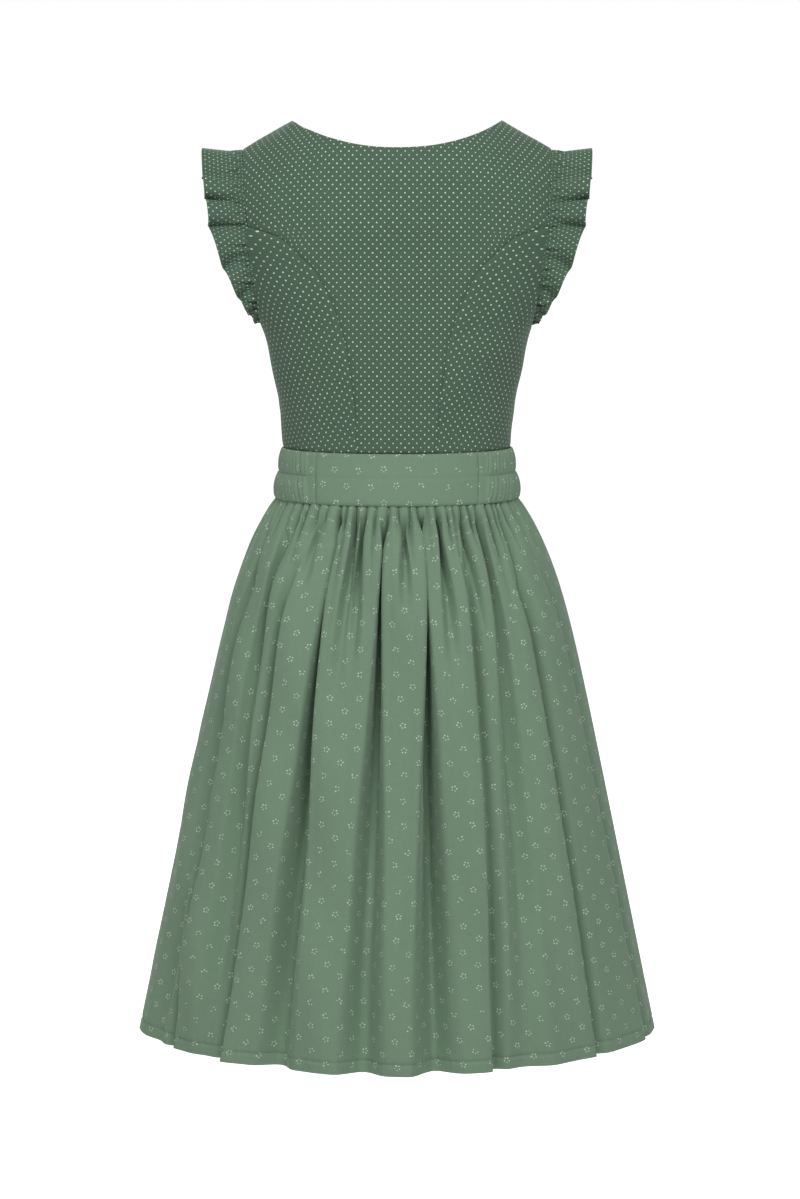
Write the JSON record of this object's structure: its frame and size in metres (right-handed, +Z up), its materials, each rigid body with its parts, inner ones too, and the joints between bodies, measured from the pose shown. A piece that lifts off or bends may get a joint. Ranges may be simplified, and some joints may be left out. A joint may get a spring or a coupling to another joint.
{
  "type": "sleeveless dirndl dress with frilled armholes",
  "caption": "Hollow worn form of a sleeveless dirndl dress: princess-cut bodice, armhole frills, shirred waistband and gathered midi skirt.",
  "frame": {"origin": "midway between the neck ends of the two shoulder seams, where the wearer's shoulders carry the dress", "axes": "+Z up, the front of the dress faces -Y, its back faces +Y, the wearer's left is +X"},
  "size_m": [0.6058, 0.4237, 1.0532],
  "materials": {
    "dotted_cotton": "matt dark sage green cotton with a small pale dot",
    "sprigged_cotton": "matt sage green cotton with small scattered pale five-dot flowers"
  },
  "bodies": {
    "root": {"back_centre": "dotted_cotton", "back_side_left": "dotted_cotton", "back_side_right": "dotted_cotton", "front_centre": "dotted_cotton", "front_side_left": "dotted_cotton", "front_side_right": "dotted_cotton", "frill_left": "dotted_cotton", "frill_right": "dotted_cotton", "band_back": "sprigged_cotton", "band_front": "sprigged_cotton", "band_side_left": "sprigged_cotton", "band_side_right": "sprigged_cotton", "skirt_back": "sprigged_cotton", "skirt_front": "sprigged_cotton"}
  },
  "joints": []
}
